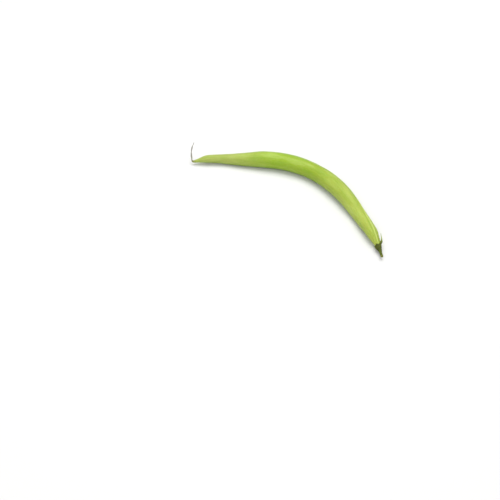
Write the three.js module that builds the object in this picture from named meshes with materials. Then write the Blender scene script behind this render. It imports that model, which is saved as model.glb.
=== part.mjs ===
// A green bean as picked, lying on its side on a table: the pod with its seed bulges, its two
// seams and the dry thread at its blossom end, the calyx that the pod grew from, and the stalk.
// Millimetres, +Z up. Places along the bean are measured along its curved middle line from the
// beak, the corner where the dry thread leaves the pod. The thread has places below zero.

import * as THREE from 'three';
import { mergeVertices } from 'three/addons/utils/BufferGeometryUtils.js';

// Places along the middle line
const THREAD_TIP = -11.4;
const BEAK = 0;
const POD_SHOULDER = 128.6;
const POD_END = 131.8;
const CALYX_RIM = 131.2;
const CALYX_END = 134.9;
const STALK_START = 135.2;
const STALK_END = 138.5;

// Bends of the middle line seen from above, in degrees turned to the right
const THREAD_TIP_HEADING = 130;
const BENDS = [
  { from: -12, to: -3, by: -48 },
  { from: -2, to: 0.4, by: -89 },
  { from: 2.5, to: 22, by: 12.5 },
  { from: 31.5, to: 91, by: 49.8 },
  { from: 73.5, to: 119.5, by: 13.3 },
  { from: 114, to: 126, by: 2.3 },
  { from: 126, to: 137, by: 9.9 },
];

// The thread stands up from the beak, in degrees
const THREAD_TIP_SLOPE = -45;
const SLOPE_CHANGES = [{ from: -2, to: 0.6, by: 45 }];

// How far the two ends of the bean stand clear of the table, and the three low points between
const STEM_END_LIFT = 1.2;
const END_LIFTS = [
  { from: -2, to: 24, by: -1.3 },
  { from: 106, to: 130, by: STEM_END_LIFT },
];
const LOW_POINT = { first: 30, apart: 38, deep: 0.13, sunk: 0.03 };

// Thickness of the thread and the pod
const THREAD_THICKNESS = 0.5;
const THICKENINGS = [
  { from: THREAD_TIP, to: -2.2, by: 0.2 },
  { from: -1.6, to: 1, by: 0.6 },
  { from: -1, to: 8.3, by: 2.65 },
  { from: 4.9, to: 43.3, by: 4.8 },
  { from: 88, to: 115, by: -1.95 },
  { from: 113, to: 130, by: -1.3 },
  { from: 122, to: 133, by: -2.75 },
];

// Section: a little deeper from seam to seam, with a ridge on the back seam, a groove on the other
const DEEPER_SHARE = 0.03;
const BACK_SEAM = { high: 0.2, wide: 8 };
const FRONT_SEAM = { high: -0.14, wide: 9 };
const SEAMS_FULL_AT = 8;
const SEAM_ANGLE = 38;
const SEAM_TWISTS = [{ from: 92, to: 134, by: 49 }];

// Seeds in a row, which swell the pod's two cheeks
const SEED = { count: 7, first: 27, apart: 14, swell: 0.22, reach: 4.6 };

// Calyx: a solid cone with a shallow dish that the pod's end sits in, with five short teeth on its
// rim and a long one that stands off the pod. The dish is [share of the inner radius, how far
// forward of its floor], the cone is [share of the calyx's length, radius].
const CALYX = { rim: 1.85, wall: 0.3, lip: 0.5, neck: 0.9, rounding: 0.15, gap: 0.3 };
const DISH = [[0.6, 0.1], [0.92, 0.5]];
const CONE = [[0.35, 1.52], [0.7, 1.15]];
const TEETH = { count: 5, long: 0.5, sharp: 4, rows: [0.25, 0.5, 1] };
const LOBES = { high: 0.06, fadeFrom: 0.6 };
const STANDING_TOOTH = { long: 5.9, at: -58, wide: 20 };
const TOOTH_SPLAY = { out: 0.9, within: 2, slope: 0.22 };

// Stalk: thin, with a knuckle where it meets the calyx and a swelling where it was snapped off
const STALK = { thick: 1.25, knuckle: 0.5, knuckleShare: 0.35, snapped: 0.2, snappedShare: 0.25 };
const STALK_ROWS = 12;

// Rows of points on the pod, close together on the thread and where it turns into the beak
const THREAD_ROUNDING = { radius: 0.17, back: 0.08 };
const POD_ROWS = [
  { from: THREAD_TIP + 0.3, to: -2.4, steps: 6 },
  { from: -2, to: 0.4, steps: 8 },
  { from: 1, to: 7, steps: 6 },
  { from: 8.8, to: POD_SHOULDER, steps: 66 },
];
const POD_END_ROWS = { from: 0.3, to: 0.94, steps: 4 };

const POD_SIDES = 28;
const CALYX_SIDES = 30;
const STALK_SIDES = 16;

const WALK_STRIDE = 0.25;
const FULL_TURN = 360;

// Smooth step from 0 to 1
function soft(along, from, to) {
  return THREE.MathUtils.smoothstep(along, from, to);
}

// A starting value with soft changes added to it
function changing(start, changes, along) {
  return changes.reduce((sum, change) => sum + change.by * soft(along, change.from, change.to), start);
}

// A rounded bump of height 1
function bump(offset, wide) {
  return Math.exp(-((offset / wide) ** 2));
}

// The smallest turn between two angles, in degrees
function turnBetween(angle, other) {
  return THREE.MathUtils.euclideanModulo(angle - other + FULL_TURN / 2, FULL_TURN) - FULL_TURN / 2;
}

// Equal steps between two places, both ends included
function spread(from, to, steps) {
  return Array.from({ length: steps + 1 }, (_, index) => THREE.MathUtils.lerp(from, to, index / steps));
}

function seamAngle(along) {
  return changing(SEAM_ANGLE, SEAM_TWISTS, along);
}

function podRadius(along) {
  return changing(THREAD_THICKNESS, THICKENINGS, along) / 2;
}

// Distance from the middle line to the pod's skin, without the seeds. The angle is from the back seam.
function skinRadius(radius, along, angle) {
  const oval = 1 + DEEPER_SHARE * Math.cos(2 * THREE.MathUtils.degToRad(angle));
  const onPod = soft(along, BEAK, SEAMS_FULL_AT) * (radius / podRadius(along)) ** 2;
  const back = BACK_SEAM.high * bump(turnBetween(angle, 0), BACK_SEAM.wide);
  const front = FRONT_SEAM.high * bump(turnBetween(angle, FULL_TURN / 2), FRONT_SEAM.wide);
  return radius * oval + onPod * (back + front);
}

function seedSwelling(along, angle) {
  const seeds = spread(SEED.first, SEED.first + SEED.apart * (SEED.count - 1), SEED.count - 1);
  const row = seeds.reduce((sum, seed) => sum + bump(along - seed, SEED.reach), 0);
  return SEED.swell * row * Math.sin(THREE.MathUtils.degToRad(angle)) ** 2;
}

// Height of the middle line above the table where the bean lies at rest
function restHeight(along) {
  const underside = skinRadius(podRadius(along), along, -FULL_TURN / 4 - seamAngle(along));
  const wave = Math.cos((2 * Math.PI * (along - LOW_POINT.first)) / LOW_POINT.apart);
  const lift = changing(-END_LIFTS[0].by, END_LIFTS, along);
  return underside + lift - LOW_POINT.sunk - LOW_POINT.deep * wave;
}

// The middle line, walked from the tip of the thread to the end of the stalk in equal steps
function walkMiddleLine() {
  const steps = Math.round((STALK_END - THREAD_TIP) / WALK_STRIDE);
  const stride = (STALK_END - THREAD_TIP) / steps;
  const places = spread(THREAD_TIP, STALK_END, steps);
  const walker = new THREE.Vector3();
  const points = places.map((along) => {
    const here = walker.clone();
    const heading = THREE.MathUtils.degToRad(changing(THREAD_TIP_HEADING, BENDS, along + stride / 2));
    const slope = THREE.MathUtils.degToRad(changing(THREAD_TIP_SLOPE, SLOPE_CHANGES, along + stride / 2));
    walker.x += stride * Math.cos(heading) * Math.cos(slope);
    walker.y -= stride * Math.sin(heading) * Math.cos(slope);
    walker.z += stride * Math.sin(slope);
    return here;
  });
  const podLevel = points[steps].z;
  points.forEach((point, index) => {
    point.z += restHeight(Math.max(places[index], BEAK)) - podLevel;
  });
  return new THREE.CatmullRomCurve3(points);
}

const middleLine = walkMiddleLine();

// A point at an angle round the middle line: 0 is the outer side of the curve, 90 is up
function placeRound(along, angle, out) {
  const share = (along - THREAD_TIP) / (STALK_END - THREAD_TIP);
  const forward = middleLine.getTangent(share);
  const outward = new THREE.Vector3(0, 0, 1).cross(forward).normalize();
  const upward = forward.clone().cross(outward);
  const turned = THREE.MathUtils.degToRad(angle);
  const point = middleLine.getPoint(share);
  point.addScaledVector(outward, out * Math.cos(turned));
  point.addScaledVector(upward, out * Math.sin(turned));
  point.z = Math.max(point.z, 0);
  return point;
}

// A lathed outline laid along the middle line. The outline's rows are [radius, place along], and
// shape(row, angle) gives the place along and the distance out for a row's point at an angle from
// the back seam.
function bentLathe(rows, sides, shape) {
  const lathe = new THREE.LatheGeometry(rows.map((row) => new THREE.Vector2(row[0], row[1])), sides);
  const position = lathe.attributes.position;
  for (let index = 0; index < position.count; index += 1) {
    const row = rows[index % rows.length];
    const side = Math.floor(index / rows.length) % sides;
    const angle = (FULL_TURN * side) / sides;
    const { along, out } = row[0] === 0 ? { along: row[1], out: 0 } : shape(row, angle);
    const point = placeRound(along, angle + seamAngle(along), out);
    position.setXYZ(index, point.x, point.y, point.z);
  }
  lathe.deleteAttribute('normal');
  lathe.deleteAttribute('uv');
  const solid = mergeVertices(lathe);
  solid.computeVertexNormals();
  return solid;
}

function named(name, geometry, material) {
  const mesh = new THREE.Mesh(geometry, new THREE.MeshStandardMaterial(material));
  mesh.name = name;
  return mesh;
}

// The pod closes in a rounded end inside the calyx, and the thread in a rounded tip
function makePod() {
  const places = POD_ROWS.flatMap(({ from, to, steps }) => spread(from, to, steps));
  const body = places.map((along) => [podRadius(along), along]);
  const end = spread(POD_END_ROWS.from, POD_END_ROWS.to, POD_END_ROWS.steps).map((share) => [
    podRadius(POD_SHOULDER) * Math.sqrt(1 - share ** 2),
    THREE.MathUtils.lerp(POD_SHOULDER, POD_END, share),
  ]);
  const rows = [
    [0, THREAD_TIP],
    [THREAD_ROUNDING.radius, THREAD_TIP + THREAD_ROUNDING.back],
    ...body,
    ...end,
    [0, POD_END],
  ];
  const pod = bentLathe(rows, POD_SIDES, ([radius, along], angle) => ({
    along,
    out: skinRadius(radius, along, angle) + seedSwelling(along, angle),
  }));
  return named('pod', pod, { color: '#a3c341', roughness: 0.45, metalness: 0 });
}

// How far the calyx rim reaches forward over the pod at an angle
function toothReach(angle) {
  const cycle = Math.sin(THREE.MathUtils.degToRad((TEETH.count * angle) / 2)) ** 2;
  const standing = bump(turnBetween(angle, STANDING_TOOTH.at), STANDING_TOOTH.wide);
  return TEETH.long * cycle ** TEETH.sharp + STANDING_TOOTH.long * standing ** 2;
}

function toothSplay(reach) {
  return TOOTH_SPLAY.out * soft(reach, 0, TOOTH_SPLAY.within) + TOOTH_SPLAY.slope * reach;
}

// Rows are [radius, place along, share of the tooth]: dish, inner face of the teeth, their outer
// face, and the cone back to the stalk
function makeCalyx() {
  const floor = POD_END + CALYX.gap;
  const inner = CALYX.rim - CALYX.wall;
  const rows = [
    [0, floor, 0],
    ...DISH.map(([share, forward]) => [inner * share, floor - forward, 0]),
    [inner, CALYX_RIM, 0],
    ...TEETH.rows.map((share) => [inner, CALYX_RIM, share]),
    ...TEETH.rows.toReversed().map((share) => [CALYX.rim, CALYX_RIM, share]),
    [CALYX.rim, CALYX_RIM, 0],
    [CALYX.rim, CALYX_RIM + CALYX.lip, 0],
    ...CONE.map(([share, radius]) => [radius, THREE.MathUtils.lerp(CALYX_RIM, CALYX_END, share), 0]),
    [CALYX.neck, CALYX_END - CALYX.rounding, 0],
    [CALYX.neck - CALYX.rounding, CALYX_END, 0],
    [0, CALYX_END, 0],
  ];
  const calyx = bentLathe(rows, CALYX_SIDES, ([radius, along, share], angle) => {
    const reach = share * toothReach(angle);
    const lobes = -LOBES.high * Math.cos(THREE.MathUtils.degToRad(TEETH.count * angle));
    const behindRim = soft(along, CALYX_RIM, CALYX_RIM + CALYX.lip);
    const fadeFrom = THREE.MathUtils.lerp(CALYX_RIM, CALYX_END, LOBES.fadeFrom);
    const beforeNeck = 1 - soft(along, fadeFrom, CALYX_END);
    return { along: along - reach, out: radius + toothSplay(reach) + behindRim * beforeNeck * lobes };
  });
  return named('calyx', calyx, { color: '#56631f', roughness: 0.6, metalness: 0 });
}

function makeStalk() {
  const length = STALK_END - STALK_START;
  const side = spread(0, 1, STALK_ROWS).map((share) => {
    const knuckle = STALK.knuckle * (1 - soft(share, 0, STALK.knuckleShare));
    const snapped = STALK.snapped * soft(share, 1 - STALK.snappedShare, 1);
    return [(STALK.thick + knuckle + snapped) / 2, STALK_START + length * share];
  });
  const rows = [[0, STALK_START], ...side, [0, STALK_END]];
  const stalk = bentLathe(rows, STALK_SIDES, ([radius, along]) => ({ along, out: radius }));
  return named('stalk', stalk, { color: '#66702c', roughness: 0.7, metalness: 0 });
}

const bean = new THREE.Group();
bean.add(makePod(), makeCalyx(), makeStalk());

// Its origin is on the table, under the middle of the bean
const box = new THREE.Box3().setFromObject(bean);
const middle = box.getCenter(new THREE.Vector3());
bean.position.set(-middle.x, -middle.y, 0);

export default bean;
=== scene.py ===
"""A green bean as picked, lying on its side on a pale table.

The pod with its beak and dry thread, the calyx with its teeth and the snapped stalk are laid out
along one curved middle line. Places along that line are in millimetres from the beak, angles are in
degrees, and a mesh is turned into metres when it is made.
"""

from __future__ import annotations

import logging
import math
from collections.abc import Sequence
from dataclasses import dataclass, field
from enum import Enum

import bpy
import numpy as np
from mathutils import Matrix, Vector

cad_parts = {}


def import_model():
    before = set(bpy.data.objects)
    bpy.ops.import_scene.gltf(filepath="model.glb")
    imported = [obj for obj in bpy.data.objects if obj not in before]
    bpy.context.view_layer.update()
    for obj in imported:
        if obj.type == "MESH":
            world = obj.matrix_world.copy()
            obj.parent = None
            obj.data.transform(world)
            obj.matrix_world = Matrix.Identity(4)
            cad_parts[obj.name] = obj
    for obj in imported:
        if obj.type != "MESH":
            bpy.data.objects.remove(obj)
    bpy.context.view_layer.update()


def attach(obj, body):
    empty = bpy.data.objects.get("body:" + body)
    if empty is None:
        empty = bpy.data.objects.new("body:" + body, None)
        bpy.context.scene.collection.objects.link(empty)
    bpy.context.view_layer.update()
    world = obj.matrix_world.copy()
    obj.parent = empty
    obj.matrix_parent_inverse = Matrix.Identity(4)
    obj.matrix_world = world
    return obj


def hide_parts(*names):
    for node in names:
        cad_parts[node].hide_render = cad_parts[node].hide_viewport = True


MM = 0.001
FULL_TURN = 360.0
HALF_TURN = 180.0

# The range that the value of soft marks mostly keeps to
USUAL = {"From Min": 0.3, "From Max": 0.7}

Tree = bpy.types.NodeTree
Source = bpy.types.Node | bpy.types.NodeSocket
Colour = tuple[float, float, float, float]

log = logging.getLogger("green_bean")


class Slot(Enum):
    """The record's material slots."""

    POD_SKIN = "pod_skin"
    CALYX = "calyx"
    STALK = "stalk"


class Mark(Enum):
    """Values that a mesh carries for its material."""

    STRAIGHT = "straight_mm"
    ALONG = "along_mm"
    FROM_SEAM = "from_seam_deg"
    DRY = "dry"
    PALE = "pale"


class Easing(Enum):
    """How a tint comes in."""

    EVEN = "LINEAR"
    SOFT = "SMOOTHSTEP"


# Soft shapes along and round the bean


def soft(along: np.ndarray, start: float, end: float) -> np.ndarray:
    """Rises smoothly from 0 at start to 1 at end.

    Args:
        along: places to work it out at.
        start: where the rise starts.
        end: where it is complete.

    Returns:
        The share risen at each place.
    """
    share = np.clip((np.asarray(along, dtype=float) - start) / (end - start), 0.0, 1.0)
    return share * share * (3.0 - 2.0 * share)


def bump(offset: np.ndarray, wide: float) -> np.ndarray:
    """A rounded bump of height 1.

    Args:
        offset: distances from its middle.
        wide: its half width.

    Returns:
        Its height at each distance.
    """
    return np.exp(-((np.asarray(offset) / wide) ** 2))


def turn_between(angle: np.ndarray, other: float) -> np.ndarray:
    """The smallest turn between two angles.

    Args:
        angle: angles in degrees.
        other: the angle to measure from.

    Returns:
        The turn, from -180 to 180 degrees.
    """
    return np.mod(np.asarray(angle) - other + HALF_TURN, FULL_TURN) - HALF_TURN


def ripple(angle: np.ndarray, count: int) -> np.ndarray:
    """A wave from -1 to 1 that goes round the bean.

    Args:
        angle: angles in degrees.
        count: how many waves there are in a full turn.

    Returns:
        Its height at each angle.
    """
    return np.cos(np.radians(count * angle))


@dataclass(frozen=True)
class SoftChange:
    """A value that changes smoothly between two places along the bean."""

    start: float
    end: float
    by: float

    def at(self, along: np.ndarray) -> np.ndarray:
        """How much of the change is done at each place."""
        return self.by * soft(along, self.start, self.end)


def changing(first: float, changes: Sequence[SoftChange], along: np.ndarray) -> np.ndarray:
    """A starting value with soft changes added to it.

    Args:
        first: the value before any change.
        changes: the changes.
        along: places to work it out at.

    Returns:
        The value at each place.
    """
    return first + sum(change.at(along) for change in changes)


@dataclass(frozen=True)
class Unevenness:
    """Soft random unevenness of a grown thing, summed from waves that run every way."""

    seed: int
    wave: float
    stretch: float = 1.0
    waves: int = 40
    shortest: float = 0.7
    longest: float = 1.5

    def at(self, straight: np.ndarray) -> np.ndarray:
        """The unevenness, mostly between -1 and 1.

        Args:
            straight: points of the straightened bean, the place along it first.

        Returns:
            A value for each point.
        """
        chance = np.random.default_rng(self.seed)
        ways = chance.normal(size=(self.waves, 3))
        ways /= np.linalg.norm(ways, axis=1, keepdims=True)
        ways[:, 0] /= self.stretch
        ways *= 2 * math.pi / (self.wave * chance.uniform(self.shortest, self.longest, (self.waves, 1)))
        starts = chance.uniform(0, 2 * math.pi, self.waves)
        total = np.cos(straight @ ways.T + starts).sum(axis=-1)
        return total / math.sqrt(self.waves)


# The bean's form and its middle line


@dataclass(frozen=True)
class PodForm:
    """Thickness, section and seams of the pod and its thread, in millimetres and degrees."""

    thread_tip: float = -11.4
    thread_thickness: float = 0.5
    thickenings: tuple[SoftChange, ...] = (
        SoftChange(-11.4, -2.2, 0.2),
        SoftChange(-1.6, 1.0, 0.6),
        SoftChange(-1.0, 8.3, 2.65),
        SoftChange(4.9, 43.3, 4.8),
        SoftChange(88.0, 115.0, -1.95),
        SoftChange(113.0, 130.0, -1.3),
        SoftChange(122.0, 133.0, -2.75),
    )
    deeper_share: float = 0.03
    back_seam_high: float = 0.2
    back_seam_wide: float = 8.0
    front_seam_high: float = -0.14
    front_seam_wide: float = 9.0
    seams_full_at: float = 8.0
    seam_at: float = 38.0
    seam_twists: tuple[SoftChange, ...] = (SoftChange(92.0, 134.0, 49.0),)

    def radius(self, along: np.ndarray) -> np.ndarray:
        """Half the thickness at each place."""
        return changing(self.thread_thickness, self.thickenings, along) / 2

    def seam_angle(self, along: np.ndarray) -> np.ndarray:
        """The angle that the back seam lies at, from the outer side of the curve."""
        return changing(self.seam_at, self.seam_twists, along)

    def skin(self, radius: np.ndarray, along: np.ndarray, angle: np.ndarray) -> np.ndarray:
        """Distance from the middle line to the skin, without the seeds.

        Args:
            radius: half thicknesses.
            along: places along the bean.
            angle: angles from the back seam.

        Returns:
            The distance for each.
        """
        oval = 1 + self.deeper_share * ripple(angle, 2)
        on_pod = soft(along, 0.0, self.seams_full_at) * (radius / self.radius(along)) ** 2
        back = self.back_seam_high * bump(turn_between(angle, 0.0), self.back_seam_wide)
        front = self.front_seam_high * bump(turn_between(angle, HALF_TURN), self.front_seam_wide)
        return radius * oval + on_pod * (back + front)


@dataclass
class MiddleLine:
    """The bean's curved middle line, walked from the tip of the thread to past the stalk's end."""

    form: PodForm
    beak: tuple[float, float] = (-48.114, 33.102)
    beak_softness: float = 1.0
    stalk_end: float = 138.5
    past_end: float = 1.0
    tip_heading: float = 130.0
    bends: tuple[SoftChange, ...] = (
        SoftChange(-12.0, -3.0, -48.0),
        SoftChange(-2.0, 0.4, -89.0),
        SoftChange(2.5, 22.0, 12.5),
        SoftChange(31.5, 91.0, 49.8),
        SoftChange(73.5, 119.5, 13.3),
        SoftChange(114.0, 126.0, 2.3),
        SoftChange(126.0, 137.0, 9.9),
    )
    tip_slope: float = -45.0
    slope_changes: tuple[SoftChange, ...] = (SoftChange(-2.0, 0.6, 45.0),)
    end_lifts: tuple[SoftChange, ...] = (
        SoftChange(-2.0, 24.0, -1.3),
        SoftChange(106.0, 130.0, 1.2),
    )
    low_first: float = 30.0
    low_apart: float = 38.0
    low_deep: float = 0.13
    sunk: float = 0.03
    stride: float = 0.05
    places: np.ndarray = field(init=False)
    points: np.ndarray = field(init=False)

    def __post_init__(self) -> None:
        """Walks the line and puts its beak at its place on the table."""
        start = self.form.thread_tip
        steps = round((self.stalk_end + self.past_end - start) / self.stride)
        self.places = start + self.stride * np.arange(steps + 1)
        halfway = self.places + self.stride / 2
        heading = np.radians(changing(self.tip_heading, self.bends, halfway))
        slope = np.radians(changing(self.tip_slope, self.slope_changes, halfway))
        moves = np.stack(
            [np.cos(heading) * np.cos(slope), -np.sin(heading) * np.cos(slope), np.sin(slope)], axis=1
        )
        walked = np.vstack([np.zeros(3), np.cumsum(moves * self.stride, axis=0)[:-1]])
        # The pod lies on the table, and the thread starts out from the beak's height
        on_pod = (self.places + np.sqrt(self.places**2 + self.beak_softness**2)) / 2
        walked[:, 2] += self.rest_height(on_pod) - walked[-1, 2]
        at_beak = np.array([np.interp(0.0, self.places, walked[:, axis]) for axis in (0, 1)])
        walked[:, :2] += np.array(self.beak) - at_beak
        self.points = walked

    def rest_height(self, along: np.ndarray) -> np.ndarray:
        """Height of the middle line above the table, with three low points that the bean rests on.

        Args:
            along: places along the pod, the calyx and the stalk.

        Returns:
            The height at each place, in millimetres.
        """
        below = -FULL_TURN / 4 - self.form.seam_angle(along)
        underside = self.form.skin(self.form.radius(along), along, below)
        wave = np.cos(2 * math.pi * (along - self.low_first) / self.low_apart)
        lift = changing(-self.end_lifts[0].by, self.end_lifts, along)
        return underside + lift - self.sunk - self.low_deep * wave

    def lay(self, along: np.ndarray, angle: np.ndarray, out: np.ndarray) -> np.ndarray:
        """Points round the middle line, none below the table.

        Args:
            along: places along the bean.
            angle: angles from the back seam.
            out: distances from the middle line.

        Returns:
            A point for each, in millimetres.
        """
        ahead = [np.gradient(self.points[:, axis], self.stride) for axis in range(3)]
        forward = np.stack([np.interp(along, self.places, part) for part in ahead], axis=-1)
        forward /= np.linalg.norm(forward, axis=-1, keepdims=True)
        outward = np.stack([-forward[..., 1], forward[..., 0], np.zeros_like(along)], axis=-1)
        outward /= np.linalg.norm(outward, axis=-1, keepdims=True)
        upward = np.cross(forward, outward)
        turned = np.radians(angle + self.form.seam_angle(along))[..., None]
        middle = [np.interp(along, self.places, self.points[:, axis]) for axis in range(3)]
        points = np.stack(middle, axis=-1)
        points += np.asarray(out)[..., None] * (outward * np.cos(turned) + upward * np.sin(turned))
        points[..., 2] = np.maximum(points[..., 2], 0.0)
        return points


def straightened(along: np.ndarray, angle: np.ndarray, out: np.ndarray) -> np.ndarray:
    """Points of the bean as if it were straight, for patterns that run along it.

    Args:
        along: places along the bean.
        angle: angles from the back seam.
        out: distances from the middle line.

    Returns:
        A point for each, the place along the bean first.
    """
    turned = np.radians(angle)
    return np.stack([along, out * np.cos(turned), out * np.sin(turned)], axis=-1)


# Meshes


@dataclass
class Wrap:
    """A closed skin of rows round the middle line, with a point at each end."""

    name: str
    along: np.ndarray
    angle: np.ndarray
    out: np.ndarray
    marks: dict[Mark, np.ndarray] = field(default_factory=dict)

    def with_ends(self, values: np.ndarray) -> np.ndarray:
        """The rows' values in one list, with their means at both ends for the end points."""
        flat = values.reshape(-1, *values.shape[2:])
        return np.concatenate([flat, values[:1].mean(axis=1), values[-1:].mean(axis=1)])

    def faces(self) -> list[tuple[int, ...]]:
        """Lists the quads between the rows, and the triangles round both end points.

        Returns:
            The numbers of each face's points.
        """
        rows, sides = self.along.shape
        here = np.arange(rows * sides).reshape(rows, sides)
        beside = np.roll(here, -1, axis=1)
        quads = np.stack([here[:-1], beside[:-1], beside[1:], here[1:]], axis=-1).reshape(-1, 4)
        first, last = rows * sides, rows * sides + 1
        fans = [(first, b, a) for a, b in zip(here[0], beside[0])]
        fans += [(last, a, b) for a, b in zip(here[-1], beside[-1])]
        return [tuple(map(int, face)) for face in [*quads, *fans]]

    def build(self, line: MiddleLine) -> bpy.types.Object:
        """Makes the mesh, smooth and with its marks.

        Args:
            line: the middle line that it is laid along.

        Returns:
            The new object.
        """
        points = self.with_ends(line.lay(self.along, self.angle, self.out)) * MM
        mesh = bpy.data.meshes.new(self.name)
        mesh.from_pydata(points.tolist(), [], self.faces())
        mesh.shade_smooth()
        straight = straightened(self.along, self.angle, self.out)
        known = {Mark.STRAIGHT: straight, Mark.ALONG: self.along, **self.marks}
        for mark, values in known.items():
            values = self.with_ends(values)
            kind, key = ("FLOAT_VECTOR", "vector") if values.ndim == 2 else ("FLOAT", "value")
            stored = mesh.attributes.new(mark.value, kind, "POINT")
            stored.data.foreach_set(key, values.astype(np.float32).ravel())
        mesh.validate()
        piece = bpy.data.objects.new(self.name, mesh)
        bpy.context.scene.collection.objects.link(piece)
        return piece


def dress(piece: bpy.types.Object, node: str, material: bpy.types.Material) -> None:
    """Gives a piece its material and its place in the part.

    Args:
        piece: the new object.
        node: the solid that it stands for.
        material: its material.
    """
    piece.data.materials.append(material)
    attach(piece, "root")
    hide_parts(node)


# Materials


def linear(hex_colour: str) -> Colour:
    """Turns an sRGB hex colour such as #a3c341 into linear light.

    Args:
        hex_colour: the colour, with two digits each for red, green and blue.

    Returns:
        Red, green and blue from 0 to 1, and full alpha.
    """
    parts = [int(hex_colour[start : start + 2], 16) / 255 for start in (1, 3, 5)]
    red, green, blue = (p / 12.92 if p <= 0.04045 else ((p + 0.055) / 1.055) ** 2.4 for p in parts)
    return red, green, blue, 1.0


def add(
    tree: Tree,
    kind: str,
    inputs: dict[str | int, object] | None = None,
    stops: Sequence[tuple[float, str]] = (),
    **settings: object,
) -> bpy.types.Node:
    """Adds a node with its settings and links.

    Args:
        tree: the node tree.
        kind: Blender's name for the kind of node.
        inputs: for each input, by name or number, its value, or the output that is linked to it.
            For a node, that is the first output in use.
        stops: places and colours of a colour ramp.
        **settings: the node's own settings.

    Returns:
        The new node.
    """
    node = tree.nodes.new(kind)
    for name, value in settings.items():
        setattr(node, name, value)
    for key, value in (inputs or {}).items():
        if isinstance(value, bpy.types.Node):
            value = next(output for output in value.outputs if output.enabled)
        if isinstance(value, bpy.types.NodeSocket):
            tree.links.new(value, node.inputs[key])
        else:
            node.inputs[key].default_value = value
    for index, (place, colour) in enumerate(stops):
        ramp = node.color_ramp.elements
        stop = ramp[index] if index < 2 else ramp.new(place)
        stop.position = place
        stop.color = linear(colour)
    return node


def new_material(name: str) -> tuple[bpy.types.Material, Tree]:
    """Makes an empty node material.

    Args:
        name: its name.

    Returns:
        The material and its node tree.
    """
    material = bpy.data.materials.new(name)
    material.use_nodes = True
    material.node_tree.nodes.clear()
    return material, material.node_tree


@dataclass(frozen=True)
class Mottle:
    """Soft irregular marks that run along the bean, so long and so wide in millimetres."""

    long: float
    wide: float
    detail: float = 2.0
    breaks: float = 0.5
    moved: tuple[float, float, float] = (0.0, 0.0, 0.0)

    def scale(self) -> tuple[float, float, float]:
        """How many marks there are in a millimetre, along the bean and both ways across it."""
        return 1 / self.long, 1 / self.wide, 1 / self.wide

    def over(self, tree: Tree, straight: Source) -> bpy.types.Node:
        """Spreads the marks over the bean.

        Args:
            tree: the node tree.
            straight: points of the straightened bean.

        Returns:
            The node that gives their value.
        """
        place = {"Vector": straight, "Location": self.moved, "Scale": self.scale()}
        marks = {
            "Vector": add(tree, "ShaderNodeMapping", place),
            "Scale": 1.0,
            "Detail": self.detail,
            "Roughness": self.breaks,
        }
        return add(tree, "ShaderNodeTexNoise", marks)


@dataclass(frozen=True)
class Tint:
    """A colour that shows more as a pattern's value goes from one number to another."""

    colour: str
    start: float
    full: float
    share: float = 1.0
    easing: Easing = Easing.EVEN

    def shows(self, tree: Tree, pattern: Source, limits: Sequence[Source] = ()) -> bpy.types.Node:
        """Works out how much of the colour shows.

        Args:
            tree: the node tree.
            pattern: the pattern.
            limits: shares that it is cut down to.

        Returns:
            The node that gives the share.
        """
        steps = {"Value": pattern, "From Min": self.start, "From Max": self.full, "To Max": self.share}
        shown = add(tree, "ShaderNodeMapRange", steps, interpolation_type=self.easing.value)
        for limit in limits:
            shown = add(tree, "ShaderNodeMath", {0: shown, 1: limit}, operation="MULTIPLY")
        return shown

    def over(
        self, tree: Tree, below: Source | Colour, pattern: Source, limits: Sequence[Source] = ()
    ) -> bpy.types.Node:
        """Lays the colour over another.

        Args:
            tree: the node tree.
            below: the other colour.
            pattern: the pattern.
            limits: shares that it is cut down to.

        Returns:
            The node that gives the mixed colour.
        """
        shown = self.shows(tree, pattern, limits)
        inputs = {"Factor": shown, "A": below, "B": linear(self.colour)}
        return add(tree, "ShaderNodeMix", inputs, data_type="RGBA")


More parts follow.
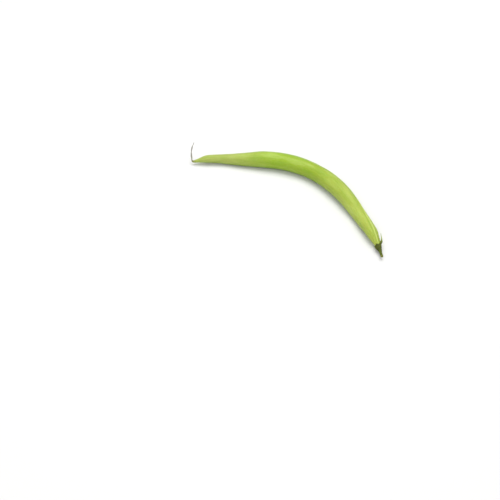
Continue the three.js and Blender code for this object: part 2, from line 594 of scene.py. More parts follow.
@dataclass(frozen=True)
class PodSkin:
    """The waxy, finely downy skin of a fresh snap bean, as grown.

    It gives the eye a soft satin light, a yellower green towards the stalk, pale lines on the seams, faint
    lengthwise streaks and clouds, and painted shade along the pod's lower side. The thread and the beak's
    tip are withered.
    """

    # The green at shares of the pod's length, both ends first: greyer at the beak, fullest before
    # the bend and yellower at the neck
    greens: tuple[tuple[float, str], ...] = (
        (0.0, "#a0ab51"),
        (1.0, "#a3b043"),
        (0.16, "#a0ab51"),
        (0.34, "#8fad1f"),
        (0.55, "#91a628"),
        (0.74, "#a2b044"),
    )
    greens_end: float = 130.0

    # Clouds about 12 mm long and 3 mm wide, deeper and paler
    clouds: Mottle = Mottle(12.5, 3.333, detail=3.0)
    deeper_cloud: Tint = Tint("#76a021", 0.5, 0.28, 0.4)
    paler_cloud: Tint = Tint("#c2d678", 0.5, 0.75, 0.35)

    # Lengthwise fibres under the skin, 0.1 mm in the real one and drawn 0.5 mm apart to show
    fibres: Mottle = Mottle(14.286, 0.5)
    streak: Tint = Tint("#76a021", 0.5, 0.8, 0.35)

    # The net of veins in the pod's wall: its mesh, its bends and how far they stray, in mm
    net: Mottle = Mottle(12.5, 2.0)
    net_bends: float = 2.857
    net_strays: tuple[float, float, float] = (3.0, 1.2, 1.2)
    vein: Tint = Tint("#c2d678", 0.1, 0.0, 0.07)

    # Cells and down, 0.05 mm in the real one and drawn 0.3 mm across to show
    cells: Mottle = Mottle(0.3125, 0.3125, detail=3.0, breaks=0.6)
    pale_cell: Tint = Tint("#c2d678", 0.5, 0.75, 0.3)
    deep_cell: Tint = Tint("#76a021", 0.5, 0.25, 0.3)

    # Pale flecks 0.2 to 0.4 mm long where the skin breathes, 1 mm apart
    flecks: Mottle = Mottle(1.0, 0.5556)
    fleck: str = "#cfe08a"

    # The seams, by the angle from the back one: that is a pale cord with a deeper green line at each side.
    # The broad deeper green band round the front seam, on the pod's lower side, is painted shade
    cord: Tint = Tint("#cfe08a", 9.0, 2.0, easing=Easing.SOFT)
    side_line: Tint = Tint("#6d9325", 8.0, 14.0)
    side_line_ends: tuple[float, float] = (24.0, 15.0)
    # Painted shade: a deeper green that grows towards the front seam, on the pod's lower side
    painted_underside_shade: Tint = Tint("#6d9325", 138.0, 178.0, 0.6, easing=Easing.SOFT)

    # A few healed rub marks, a few millimetres long
    rubs: Mottle = Mottle(4.0, 1.6667, detail=4.0, moved=(7.0, 3.0, 1.0))
    rub_mark: Tint = Tint("#a99a5c", 0.71, 0.78, 0.6)

    # The withered thread, grey with darker streaks, and brown-green at its root
    withered: str = "#aca7a1"
    withered_dark: str = "#7a756f"
    withered_root: Tint = Tint("#83844f", -3.0, -0.5)

    smoothest: float = 0.37
    roughest: float = 0.49
    rub_roughness: float = 0.7
    withered_roughness: float = 0.8

    def vein_net(self, tree: Tree, straight: Source) -> bpy.types.Node:
        """Draws the net of veins.

        Args:
            tree: the node tree.
            straight: points of the straightened bean.

        Returns:
            The node that gives the distance to the nearest vein, as a share of the mesh.
        """
        bends = {"Vector": straight, "Scale": 1 / self.net_bends, "Detail": 2.0}
        bent = add(tree, "ShaderNodeTexNoise", bends).outputs["Color"]
        strays = {0: bent, 1: self.net_strays, 2: straight}
        strayed = add(tree, "ShaderNodeVectorMath", strays, operation="MULTIPLY_ADD")
        place = add(tree, "ShaderNodeMapping", {"Vector": strayed, "Scale": self.net.scale()})
        net = {"Vector": place, "Scale": 1.0}
        return add(tree, "ShaderNodeTexVoronoi", net, feature="DISTANCE_TO_EDGE")

    def flecked(self, tree: Tree, green: Source, straight: Source, cloud: Source) -> bpy.types.Node:
        """Lays the pale flecks over the green, larger in some clouds.

        Args:
            tree: the node tree.
            green: the colour below.
            straight: points of the straightened bean.
            cloud: the clouds.

        Returns:
            The node that gives the mixed colour.
        """
        place = add(tree, "ShaderNodeMapping", {"Vector": straight, "Scale": self.flecks.scale()})
        spot = add(tree, "ShaderNodeTexVoronoi", {"Vector": place, "Scale": 1.0})
        sizes = {"Value": cloud, "From Min": 0.4, "From Max": 0.65, "To Min": 0.04, "To Max": 0.17}
        size = add(tree, "ShaderNodeMapRange", sizes)
        edges = {"Value": spot, "From Min": size, "From Max": 0.02, "To Max": 0.28}
        shown = add(tree, "ShaderNodeMapRange", edges)
        inputs = {"Factor": shown, "A": green, "B": linear(self.fleck)}
        return add(tree, "ShaderNodeMix", inputs, data_type="RGBA")

    def seamed(
        self, tree: Tree, green: Source, along: Source, from_seam: Source, cloud: Source
    ) -> bpy.types.Node:
        """Lays the back seam's lines over the green, clearest at the neck and broken by the clouds, then
        painted shade round the front seam on the pod's lower side.

        Args:
            tree: the node tree.
            green: the colour below.
            along: the place along the pod.
            from_seam: the angle from the back seam.
            cloud: the clouds.

        Returns:
            The node that gives the mixed colour.
        """
        clearer = {"Value": along, "From Min": 92.0, "From Max": 122.0, "To Min": 0.14, "To Max": 0.4}
        near_neck = add(tree, "ShaderNodeMapRange", clearer)
        outer, inner = self.side_line_ends
        edge = {"Value": from_seam, "From Min": outer, "From Max": inner}
        side_out = add(tree, "ShaderNodeMapRange", edge)
        broken = add(tree, "ShaderNodeMapRange", {"Value": cloud, **USUAL, "To Min": 0.6, "To Max": 1.3})
        green = self.side_line.over(tree, green, from_seam, (side_out, near_neck))
        green = self.cord.over(tree, green, from_seam, (near_neck, broken))
        # The deeper green round the front seam is painted shade on the pod's lower side
        return self.painted_underside_shade.over(tree, green, from_seam)

    def build(self) -> bpy.types.Material:
        """Makes the node material, which reads the pod's marks.

        Returns:
            The material.
        """
        material, tree = new_material("waxy green bean skin")
        straight = add(tree, "ShaderNodeAttribute", attribute_name=Mark.STRAIGHT.value).outputs["Vector"]
        along, from_seam, dry = (
            add(tree, "ShaderNodeAttribute", attribute_name=mark.value).outputs["Fac"]
            for mark in (Mark.ALONG, Mark.FROM_SEAM, Mark.DRY)
        )
        cloud, fibre, cells, rub = (
            marks.over(tree, straight) for marks in (self.clouds, self.fibres, self.cells, self.rubs)
        )

        # The fresh skin's colour
        share = add(tree, "ShaderNodeMapRange", {"Value": along, "From Max": self.greens_end})
        green = add(tree, "ShaderNodeValToRGB", {"Fac": share}, stops=self.greens)
        for tint, pattern in (
            (self.deeper_cloud, cloud),
            (self.paler_cloud, cloud),
            (self.streak, fibre),
            (self.vein, self.vein_net(tree, straight)),
            (self.pale_cell, cells),
            (self.deep_cell, cells),
        ):
            green = tint.over(tree, green, pattern)
        green = self.flecked(tree, green, straight, cloud)
        green = self.seamed(tree, green, along, from_seam, cloud)
        skin = self.rub_mark.over(tree, green, rub)

        # The withered thread's colour
        greys = {"Factor": fibre, "A": linear(self.withered_dark), "B": linear(self.withered)}
        streaked = add(tree, "ShaderNodeMix", greys, data_type="RGBA")
        husk = self.withered_root.over(tree, streaked, along)
        colour = add(tree, "ShaderNodeMix", {"Factor": dry, "A": skin, "B": husk}, data_type="RGBA")

        # Satin, duller on the rub marks and dull where withered
        sheen = {"Value": fibre, **USUAL, "To Min": self.smoothest, "To Max": self.roughest}
        satin = add(tree, "ShaderNodeMapRange", sheen)
        scar = self.rub_mark.shows(tree, rub)
        marked = add(tree, "ShaderNodeMix", {"Factor": scar, "A": satin, "B": self.rub_roughness})
        rough = add(tree, "ShaderNodeMix", {"Factor": dry, "A": marked, "B": self.withered_roughness})

        # The cells and down over the fibres
        fine = add(tree, "ShaderNodeBump", {"Height": cells, "Strength": 1.0, "Distance": 0.1 * MM})
        fibrous = {"Height": fibre, "Strength": 1.0, "Distance": 0.2 * MM, "Normal": fine}
        relief = add(tree, "ShaderNodeBump", fibrous)
        surface = {
            "Base Color": colour,
            "Roughness": rough,
            "IOR": 1.38,
            "Specular IOR Level": 0.37,
            "Normal": relief,
            "Subsurface Weight": 0.18,
            "Subsurface Radius": (0.6, 1.0, 0.25),
            "Subsurface Scale": 1.4 * MM,
            "Sheen Weight": 0.06,
            "Sheen Roughness": 0.45,
            "Sheen Tint": linear("#f3f6e4"),
        }
        shader = add(tree, "ShaderNodeBsdfPrincipled", surface)
        add(tree, "ShaderNodeOutputMaterial", {"Surface": shader})
        return material


@dataclass(frozen=True)
class CalyxHusk:
    """The calyx left from the flower, half dried: leafy, dark and dull, with paler veins.

    Its long tooth pales towards the tip, first between the veins.
    """

    dark_olive: str = "#3b4706"
    blots: Mottle = Mottle(0.9091, 0.9091, detail=3.0)
    brown_blot: Tint = Tint("#52560e", 0.4, 0.62)

    # Veins run from the neck into the teeth, about 0.4 mm apart
    veins: Mottle = Mottle(8.333, 0.4167)
    vein: Tint = Tint("#76862c", 0.55, 0.75, 0.5)
    tooth_tip: Tint = Tint("#9bad45", 0.0, 1.0)

    smoothest: float = 0.54
    roughest: float = 0.72

    def build(self) -> bpy.types.Material:
        """Makes the node material, which reads the calyx's marks.

        Returns:
            The material.
        """
        material, tree = new_material("half dried calyx")
        straight = add(tree, "ShaderNodeAttribute", attribute_name=Mark.STRAIGHT.value).outputs["Vector"]
        pale = add(tree, "ShaderNodeAttribute", attribute_name=Mark.PALE.value).outputs["Fac"]
        blot = self.blots.over(tree, straight)
        vein = self.veins.over(tree, straight)
        leaf = self.brown_blot.over(tree, linear(self.dark_olive), blot)
        leaf = self.vein.over(tree, leaf, vein)
        paling = {"Value": vein, "From Min": 0.35, "From Max": 0.65, "To Min": 0.45, "To Max": 1.35}
        between = add(tree, "ShaderNodeMapRange", paling)
        dulling = {"Value": blot, **USUAL, "To Min": self.smoothest, "To Max": self.roughest}
        surface = {
            "Base Color": self.tooth_tip.over(tree, leaf, pale, (between,)),
            "Roughness": add(tree, "ShaderNodeMapRange", dulling),
            "IOR": 1.45,
            "Specular IOR Level": 0.3,
            "Normal": add(tree, "ShaderNodeBump", {"Height": vein, "Strength": 0.6, "Distance": 0.15 * MM}),
            "Subsurface Weight": 0.08,
            "Subsurface Radius": (0.5, 0.8, 0.2),
            "Subsurface Scale": 0.8 * MM,
        }
        shader = add(tree, "ShaderNodeBsdfPrincipled", surface)
        add(tree, "ShaderNodeOutputMaterial", {"Surface": shader})
        return material


@dataclass(frozen=True)
class StalkRind:
    """The stalk's fibrous rind, grown, and its snapped end, where the pale fibres show.

    It gives the eye a dull olive with fine lighter ridges along the stalk.
    """

    # Fibres run lengthwise, 0.1 mm in the real one and drawn 0.25 mm apart to show
    fibres: Mottle = Mottle(2.0, 0.25, detail=3.0)
    rind: str = "#495809"
    brown: Tint = Tint("#5d5a12", 0.5, 0.3)
    ridge: Tint = Tint("#7f8f30", 0.55, 0.75, 0.7)
    torn_fibre: Tint = Tint("#7d7f3c", 0.0, 1.0)

    smoothest: float = 0.6
    roughest: float = 0.8

    def build(self) -> bpy.types.Material:
        """Makes the node material, which reads the stalk's marks.

        Returns:
            The material.
        """
        material, tree = new_material("fibrous stalk rind")
        straight = add(tree, "ShaderNodeAttribute", attribute_name=Mark.STRAIGHT.value).outputs["Vector"]
        pale = add(tree, "ShaderNodeAttribute", attribute_name=Mark.PALE.value).outputs["Fac"]
        fibre = self.fibres.over(tree, straight)
        rind = self.brown.over(tree, linear(self.rind), fibre)
        rind = self.ridge.over(tree, rind, fibre)
        dulling = {"Value": fibre, **USUAL, "To Min": self.smoothest, "To Max": self.roughest}
        surface = {
            "Base Color": self.torn_fibre.over(tree, rind, pale),
            "Roughness": add(tree, "ShaderNodeMapRange", dulling),
            "IOR": 1.45,
            "Specular IOR Level": 0.3,
            "Normal": add(tree, "ShaderNodeBump", {"Height": fibre, "Strength": 0.7, "Distance": 0.12 * MM}),
        }
        shader = add(tree, "ShaderNodeBsdfPrincipled", surface)
        add(tree, "ShaderNodeOutputMaterial", {"Surface": shader})
        return material


@dataclass(frozen=True)
class PaintedBoard:
    """The table top: smooth board with matt white paint, which the eye takes as plain white."""

    white: str = "#dededd"
    roller_mark: float = 1.111
    smoothest: float = 0.7
    roughest: float = 0.85

    def build(self) -> bpy.types.Material:
        """Makes the node material.

        Returns:
            The material.
        """
        material, tree = new_material("matt white painted board")
        place = add(tree, "ShaderNodeTexCoord").outputs["Object"]
        marks = {"Vector": place, "Scale": 1 / (self.roller_mark * MM), "Detail": 2.0}
        rolled = add(tree, "ShaderNodeTexNoise", marks)
        dulling = {"Value": rolled, "To Min": self.smoothest, "To Max": self.roughest}
        surface = {
            "Base Color": linear(self.white),
            "Roughness": add(tree, "ShaderNodeMapRange", dulling),
            "IOR": 1.45,
            "Specular IOR Level": 0.2,
        }
        shader = add(tree, "ShaderNodeBsdfPrincipled", surface)
        add(tree, "ShaderNodeOutputMaterial", {"Surface": shader})
        return material


# The bean's pieces


@dataclass
class Pod:
    """The pod, grown in one piece with its beak and with the dry thread of the flower."""

    line: MiddleLine
    form: PodForm
    skin: PodSkin = field(default_factory=PodSkin)
    shoulder: float = 130.3
    end: float = 131.9

    # Rows of points: from the thread's tip, then each run's start and spacing, closest where the
    # thread turns into the beak, and the rounded end's
    tip_rows: tuple[float, ...] = (0.01, 0.05, 0.12)
    tip_rounding: float = 0.22
    row_runs: tuple[tuple[float, float], ...] = ((-11.15, 0.2), (-2.4, 0.09), (1.0, 0.2), (10.0, 0.25))
    end_rows: int = 14

    # Points of a row, crowded at both seams
    sides: int = 128
    fine_sides: int = 3600
    seam_crowd: float = 1.6
    seam_crowd_wide: float = 20.0

    # Seeds, which swell the pod's two cheeks, each a little out of its place
    seed_first: float = 27.0
    seed_apart: float = 14.0
    seed_swells: tuple[float, ...] = (0.17, 0.24, 0.2, 0.26, 0.21, 0.24, 0.16)
    seed_shifts: tuple[float, ...] = (0.4, -0.9, 0.7, -0.3, 1.1, -0.6, 0.2)
    seed_reach: float = 4.6
    seed_side: float = 9.0

    # The back seam's lines: a groove along each side of its cord and a crease on top
    groove_deep: float = 0.06
    groove_at: float = 17.0
    groove_wide: float = 6.0
    crease_deep: float = 0.05
    crease_wide: float = 2.4

    # Lengthwise ribs at the neck and the beak, which wander by some degrees
    neck_ribs: int = 11
    neck_rib_high: float = 0.07
    neck: tuple[float, float] = (108.0, 124.0)
    beak_ribs: int = 7
    beak_rib_high: float = 0.05
    beak_middle: float = 4.5
    beak_reach: float = 4.0
    wander: tuple[float, Unevenness] = (14.0, Unevenness(seed=11, wave=16.0, stretch=2.0))

    # Soft dents, and where the finer shape grows from and fades, at the shoulder
    dents: tuple[tuple[float, Unevenness], ...] = (
        (0.09, Unevenness(seed=3, wave=9.0, stretch=2.5)),
        (0.03, Unevenness(seed=5, wave=2.4, stretch=3.0)),
    )
    relief_grows: tuple[float, float] = (0.5, 9.0)
    relief_fades: tuple[float, float] = (-1.0, 0.5)

    # The thread: where it becomes the pod, its flat section and twist in degrees for each mm, its
    # ridges and knots, and how much thinner it is at its tip
    thread_root: tuple[float, float] = (-1.6, 0.6)
    thread_flatness: float = 0.25
    thread_twist: float = 40.0
    thread_ridges: int = 7
    thread_ridged: float = 0.07
    thread_knots: tuple[float, Unevenness] = (0.12, Unevenness(seed=8, wave=1.6, stretch=1.5))
    thread_taper: float = 0.35
    thread_tapers_to: float = -7.5

    # The uneven edge from the dry thread to the fresh skin
    dry_edge: tuple[float, float] = (-0.9, 1.7)
    edge_strays: tuple[float, Unevenness] = (0.35, Unevenness(seed=4, wave=2.0))

    def profile(self) -> tuple[np.ndarray, np.ndarray]:
        """Lists the rows from the thread's tip to the pod's rounded end.

        Returns:
            The rows' places, and the round radius at each.
        """
        ends = [start for start, _ in self.row_runs[1:]] + [self.shoulder]
        runs = [np.arange(start, end, apart) for (start, apart), end in zip(self.row_runs, ends)]
        open_rows = np.concatenate([self.form.thread_tip + np.array(self.tip_rows), *runs])
        turns = np.linspace(0.0, math.pi / 2, self.end_rows + 1)[:-1]
        closing = self.shoulder + (self.end - self.shoulder) * np.sin(turns)
        closing_radius = self.form.radius(np.array(self.shoulder)) * np.cos(turns)
        rows = np.concatenate([open_rows, closing])
        radius = np.concatenate([self.form.radius(open_rows), closing_radius])
        from_tip = np.clip((rows - self.form.thread_tip) / self.tip_rounding, 0.0, 1.0)
        return rows, radius * np.sqrt(1 - (1 - from_tip) ** 2)

    def angles(self) -> np.ndarray:
        """Spreads a row's points, closer together at both seams.

        Returns:
            Their angles from the back seam.
        """
        fine = np.linspace(0.0, FULL_TURN, self.fine_sides + 1)
        crowd = sum(bump(turn_between(fine, seam), self.seam_crowd_wide) for seam in (0.0, HALF_TURN))
        grown = np.cumsum(1 + self.seam_crowd * crowd)
        shares = np.arange(self.sides) / self.sides
        return np.interp(shares, (grown - grown[0]) / (grown[-1] - grown[0]), fine)

    def seeds(self, along: np.ndarray, angle: np.ndarray) -> np.ndarray:
        """How far the row of seeds swells the pod's two cheeks.

        Args:
            along: places along the pod.
            angle: angles from the back seam.

        Returns:
            The swelling at each, in millimetres.
        """
        total = np.zeros_like(along)
        for index, (swell, shift) in enumerate(zip(self.seed_swells, self.seed_shifts)):
            middle = self.seed_first + self.seed_apart * index + shift
            side = self.seed_side * (1 if index % 2 else -1)
            cheeks = np.sin(np.radians(angle + side * np.sin(np.radians(angle)))) ** 2
            total += swell * bump(along - middle, self.seed_reach) * cheeks
        return total

    def relief(self, along: np.ndarray, angle: np.ndarray, out: np.ndarray) -> np.ndarray:
        """The finer shape of the skin: the seams' lines, ribs at both ends and soft dents.

        Args:
            along: places along the pod.
            angle: angles from the back seam.
            out: distance of the plain skin from the middle line.

        Returns:
            What it adds to that distance, in millimetres.
        """
        straight = straightened(along, angle, out)
        grown = soft(along, *self.relief_grows)
        before_end = 1 - soft(along - self.shoulder, *self.relief_fades)
        from_back = np.abs(turn_between(angle, 0.0))
        grooves = self.groove_deep * bump(from_back - self.groove_at, self.groove_wide)
        crease = self.crease_deep * bump(from_back, self.crease_wide)
        far, uneven = self.wander
        wandered = angle + far * uneven.at(straight)
        neck = soft(along, *self.neck) * ripple(wandered, self.neck_ribs)
        beak = bump(along - self.beak_middle, self.beak_reach) * ripple(wandered, self.beak_ribs)
        dents = sum(high * dent.at(straight) for high, dent in self.dents)
        fine = self.neck_rib_high * neck + self.beak_rib_high * beak + dents - grooves - crease
        return grown * before_end * fine

    def thread_shape(self, along: np.ndarray, angle: np.ndarray, out: np.ndarray) -> np.ndarray:
        """The thread's flattened, twisted and knotty section.

        Args:
            along: places along the thread.
            angle: angles from the back seam.
            out: distance of a round thread's skin from the middle line.

        Returns:
            What it adds to that distance, in millimetres.
        """
        on_thread = 1 - soft(along, *self.thread_root)
        turned = angle + self.thread_twist * along
        flat = self.thread_flatness * ripple(turned, 2)
        ridged = self.thread_ridged * ripple(turned, self.thread_ridges)
        high, uneven = self.thread_knots
        knots = high * uneven.at(straightened(along, 0 * angle, 0 * out))
        thinner = self.thread_taper * (1 - soft(along, self.form.thread_tip, self.thread_tapers_to))
        return on_thread * out * (flat + ridged + knots - thinner)

    def build(self) -> bpy.types.Object:
        """Makes the pod and dresses it.

        Returns:
            The new object.
        """
        rows, radius = self.profile()
        along, angle = np.meshgrid(rows, self.angles(), indexing="ij")
        round_out = np.broadcast_to(radius[:, None], along.shape)
        out = self.form.skin(round_out, along, angle) + self.seeds(along, angle)
        out = out + self.relief(along, angle, out) + self.thread_shape(along, angle, round_out)
        far, uneven = self.edge_strays
        strayed = along + far * uneven.at(straightened(along, angle, out))
        marks = {
            Mark.FROM_SEAM: np.abs(turn_between(angle, 0.0)),
            Mark.DRY: 1 - soft(strayed, *self.dry_edge),
        }
        piece = Wrap("pod", along, angle, out, marks).build(self.line)
        dress(piece, "pod", self.skin.build())
        return piece


@dataclass
class Calyx:
    """The cone that the pod grew from, with short teeth on its rim and one long one standing off."""

    line: MiddleLine
    husk: CalyxHusk = field(default_factory=CalyxHusk)

    # The cone: its front edge and the fold that the teeth are rooted in, its narrowing back and
    # rounded end, and the dish that the pod sits in
    rim: float = 131.05
    rim_fold: float = 0.25
    rim_radius: float = 1.75
    wall: float = 0.25
    narrowings: tuple[SoftChange, ...] = (SoftChange(131.1, 134.9, -0.87),)
    end: float = 134.95
    end_rounding: float = 0.12
    floor: float = 132.3
    dish_deep: float = 0.9
    dish_curve: int = 3

    # Short teeth, a little longer on one side, and the long one
    teeth: int = 5
    tooth_long: float = 0.45
    tooth_sharp: int = 4
    longer_by: float = 0.25
    longer_at: float = -40.0
    oval: float = -0.2
    standing_long: float = 5.9
    standing_at: float = -58.0
    standing_wide: float = 23.0
    standing_sharp: float = 1.6

    # How teeth stand off, thin and pale with their reach
    splay: float = 0.9
    splays: tuple[float, float] = (0.4, 2.0)
    splay_slope: float = 0.22
    thinning: float = 0.55
    thins: tuple[float, float] = (0.3, 3.0)
    paleness: float = 0.9
    pales: tuple[float, float] = (0.4, 2.6)

    # Lobes behind the teeth, veins and wrinkles on the outside, which fade at both ends
    lobe_high: float = 0.06
    veins: int = 15
    vein_high: float = 0.03
    wrinkles: tuple[float, Unevenness] = (0.045, Unevenness(seed=21, wave=1.4, stretch=1.6))
    outside_grows: float = 0.5
    outside_fades: float = 0.8

    dish_rows: int = 8
    dish_first: float = 0.15
    tooth_rows: int = 19
    edge_rows: tuple[float, ...] = (0.3, 0.7)
    cone_rows: int = 32
    cone_first: float = 0.1
    end_rows: int = 5
    sides: int = 240

    def reach(self, angle: np.ndarray) -> np.ndarray:
        """How far the rim reaches forward over the pod.

        Args:
            angle: angles from the back seam.

        Returns:
            The reach at each, from the teeth's root.
        """
        cycle = np.sin(np.radians(self.teeth * angle / 2)) ** 2
        uneven = 1 + self.longer_by * ripple(angle - self.longer_at, 1) + self.oval * ripple(angle, 2)
        short = self.tooth_long * uneven * cycle**self.tooth_sharp
        standing = bump(turn_between(angle, self.standing_at), self.standing_wide)
        return self.rim_fold + short + self.standing_long * standing**self.standing_sharp

    def profile(self) -> np.ndarray:
        """Lists the rows: the dish, the teeth's inner side, edge and outer side, the cone, its end.

        Returns:
            For each row its radius, its place along the bean and its share of the teeth's reach.
        """
        root = self.rim + self.rim_fold
        inner = self.rim_radius - self.wall
        cone_end = self.end - self.end_rounding
        dish = np.linspace(self.dish_first, 1.0, self.dish_rows)
        up = np.linspace(0.0, 1.0, self.tooth_rows)
        edge = np.array(self.edge_rows)
        back = np.linspace(root + self.cone_first, cone_end, self.cone_rows)
        turns = np.linspace(0.0, math.pi / 2, self.end_rows + 2)[1:-1]
        end_radius = changing(self.rim_radius, self.narrowings, np.array(self.end))
        parts = (
            (inner * dish, self.floor - self.dish_deep * dish**self.dish_curve, 0.0),
            (inner, root, up),
            (inner + self.wall * edge, root, 1.0),
            (self.rim_radius, root, up[::-1]),
            (changing(self.rim_radius, self.narrowings, back), back, 0.0),
            (end_radius * np.cos(turns), cone_end + self.end_rounding * np.sin(turns), 0.0),
        )
        return np.concatenate([np.stack(np.broadcast_arrays(*part), axis=1) for part in parts])

    def build(self) -> bpy.types.Object:
        """Makes the calyx and dresses it.

        Returns:
            The new object.
        """
        rows = self.profile()
        angles = np.arange(self.sides) * FULL_TURN / self.sides
        _, angle = np.meshgrid(rows[:, 0], angles, indexing="ij")
        radius, base, share = (np.broadcast_to(rows[:, [column]], angle.shape) for column in range(3))
        reach = share * self.reach(angle)
        along = base - reach

        # The long tooth stands off and gets thinner
        inner = self.rim_radius - self.wall
        thinned = self.thinning * (inner + self.wall / 2 - radius) * soft(reach, *self.thins)
        lifted = self.splay * soft(reach, *self.splays) + self.splay_slope * reach

        # Lobes, veins and wrinkles
        root = self.rim + self.rim_fold
        outside = soft(base, root, root + self.outside_grows)
        outside = outside * (1 - soft(base, self.end - self.outside_fades, self.end))
        high, uneven = self.wrinkles
        relief = high * uneven.at(straightened(along, angle, radius))
        relief += self.vein_high * ripple(angle, self.veins) - self.lobe_high * ripple(angle, self.teeth)

        out = radius + lifted + thinned + outside * relief
        pale = self.paleness * soft(reach, *self.pales) * (radius > inner)
        piece = Wrap("calyx", along, angle, out, {Mark.PALE: pale}).build(self.line)
        dress(piece, "calyx", self.husk.build())
        return piece


@dataclass
class Stalk:
    """The short stalk behind the calyx: a knuckle, a ridged rind and a snapped end."""

    line: MiddleLine
    rind: StalkRind = field(default_factory=StalkRind)
    start: float = 134.7
    end: float = 138.5
    thick: float = 1.25

    # The knuckle at the calyx and the swelling at the snapped end, at shares of the length
    knuckle: float = 0.42
    knuckle_at: tuple[float, float] = (0.06, 0.4)
    snapped: float = 0.2
    snapped_at: tuple[float, float] = (0.75, 1.0)

    # Ridges, which turn by some degrees for each mm
    ridges: int = 6
    ridge_high: float = 0.05
    ridge_turn: float = 9.0
    ridges_grow: float = 0.5

    # The torn end, which is drawn back unevenly, and where its pale fibres show
    torn: float = 1.0
    ragged: tuple[float, Unevenness] = (0.2, Unevenness(seed=31, wave=0.9))
    ragged_middle: float = 0.9
    pale_at: tuple[float, float] = (-0.75, -0.15)

    side_rows: int = 70
    end_rows: int = 10
    sides: int = 72

    def build(self) -> bpy.types.Object:
        """Makes the stalk and dresses it.

        Returns:
            The new object.
        """
        share = np.linspace(0.0, 1.0, self.side_rows)
        swelling = self.knuckle * (1 - soft(share, *self.knuckle_at))
        swelling += self.snapped * soft(share, *self.snapped_at)
        side = (self.thick + swelling) / 2
        inward = np.linspace(1.0, 0.0, self.end_rows + 2)[1:-1]
        radius = np.concatenate([side, side[-1] * inward])
        along_side = self.start + (self.end - self.start) * share
        place = np.concatenate([along_side, np.full(self.end_rows, self.end)])
        angles = np.arange(self.sides) * FULL_TURN / self.sides
        along, angle = np.meshgrid(place, angles, indexing="ij")
        out = np.broadcast_to(radius[:, None], along.shape)
        on_side = np.broadcast_to((np.arange(place.size) < self.side_rows)[:, None], along.shape)

        high, uneven = self.ragged
        ragged = high * (self.ragged_middle + uneven.at(straightened(0 * along, angle, out)))
        along = along - ragged * soft(along, self.end - self.torn, self.end)
        turned = self.ridges * angle + self.ridge_turn * (along - self.start)
        ridges = self.ridge_high * ripple(turned, 1) * soft(along - self.start, 0.0, self.ridges_grow)
        pale = np.where(on_side, soft(along - self.end, *self.pale_at), 1.0)
        marks = {Mark.PALE: pale}
        piece = Wrap("stalk", along, angle, out + on_side * ridges, marks).build(self.line)
        dress(piece, "stalk", self.rind.build())
        return piece


# The studio


def facing(
    data: bpy.types.ID, aim: Vector, azimuth: float, elevation: float, distance: float
) -> bpy.types.Object:
    """Places a lamp or a camera so that it faces a point.

    Args:
        data: the lamp or the camera.
        aim: the point.
        azimuth: degrees round from the front.
        elevation: degrees up.
        distance: metres from the point.

    Returns:
        The new object.
    """
    turned, raised = math.radians(azimuth), math.radians(elevation)
    level = math.cos(raised)
    back = Vector((math.sin(turned) * level, -math.cos(turned) * level, math.sin(raised)))
    holder = bpy.data.objects.new(data.name, data)
    holder.location = aim + back * distance
    holder.rotation_euler = (-back).to_track_quat("-Z", "Y").to_euler()
    bpy.context.scene.collection.objects.link(holder)
    return holder


@dataclass(frozen=True)
class Softbox:
    """A large square lamp that faces the bean, with its size and distance in metres."""

    name: str
    azimuth: float
    elevation: float
    distance: float
    size: float
    power: float
    colour: str = "#ffffff"

    def build(self) -> None:
        """Makes the lamp, which faces the middle of the part."""
        lamp = bpy.data.lights.new(self.name, "AREA")
        lamp.size = self.size
        lamp.energy = self.power
        lamp.color = linear(self.colour)[:3]
        facing(lamp, Vector(), self.azimuth, self.elevation, self.distance)


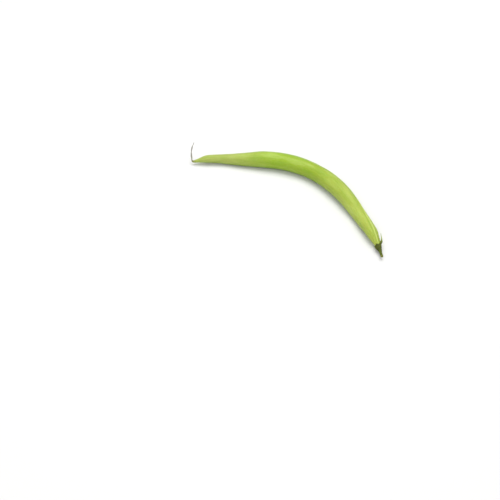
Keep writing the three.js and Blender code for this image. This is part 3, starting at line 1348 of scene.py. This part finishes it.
@dataclass
class Studio:
    """A plain pale table, soft light from above, and the camera at the photograph's angle.

    The beak's place in view is in millimetres from the point of the table in the picture's middle.
    """

    line: MiddleLine
    beak_in_view: tuple[float, float] = (-30.73, 66.52)
    azimuth: float = 0.0
    elevation: float = 45.0
    distance: float = 0.6
    lens: float = 85.0
    sensor: float = 36.0
    nearest: float = 0.01
    table_size: float = 6.0
    board: PaintedBoard = field(default_factory=PaintedBoard)
    surround: str = "#ffffff"
    surround_strength: float = 0.58
    lamps: tuple[Softbox, ...] = (
        Softbox("top softbox", azimuth=165.0, elevation=74.0, distance=0.8, size=0.6, power=5.4),
        Softbox("front softbox", azimuth=-20.0, elevation=48.0, distance=1.0, size=0.8, power=3.0),
    )

    def build_camera(self) -> None:
        """Makes the camera and makes it the scene's."""
        lens = bpy.data.cameras.new("camera")
        lens.lens = self.lens
        lens.sensor_width = self.sensor
        lens.clip_start = self.nearest
        across, away = (place - seen for place, seen in zip(self.line.beak, self.beak_in_view))
        aim = Vector((across * MM, away * MM, 0.0))
        bpy.context.scene.camera = facing(lens, aim, self.azimuth, self.elevation, self.distance)

    def build_table(self) -> None:
        """Makes the table top, which isn't part of the bean."""
        half = self.table_size / 2
        corners = [(-half, -half, 0), (half, -half, 0), (half, half, 0), (-half, half, 0)]
        mesh = bpy.data.meshes.new("table_top")
        mesh.from_pydata(corners, [], [(0, 1, 2, 3)])
        mesh.materials.append(self.board.build())
        table = bpy.data.objects.new("table_top", mesh)
        bpy.context.scene.collection.objects.link(table)

    def build_light(self) -> None:
        """Makes the softboxes and the even light of a white room."""
        for lamp in self.lamps:
            lamp.build()
        room = bpy.data.worlds.new("white room")
        room.use_nodes = True
        tree = room.node_tree
        tree.nodes.clear()
        light = {"Color": linear(self.surround), "Strength": self.surround_strength}
        add(tree, "ShaderNodeOutputWorld", {"Surface": add(tree, "ShaderNodeBackground", light)})
        bpy.context.scene.world = room
        bpy.context.scene.view_settings.view_transform = "Standard"

    def build(self) -> None:
        """Makes the whole studio."""
        self.build_camera()
        self.build_table()
        self.build_light()


def main() -> None:
    """Builds the studio and the bean's pieces in order."""
    logging.basicConfig(level=logging.INFO, format="%(name)s: %(message)s")
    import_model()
    form = PodForm()
    line = MiddleLine(form)
    studio = Studio(line)
    studio.build()
    log.info("studio: camera %g degrees up, %d softboxes", studio.elevation, len(studio.lamps))
    for sub_assembly in (Pod(line, form), Calyx(line), Stalk(line)):
        piece = sub_assembly.build()
        log.info("%s: %d faces, %s", piece.name, len(piece.data.polygons), piece.active_material.name)


if __name__ == "__main__":
    main()
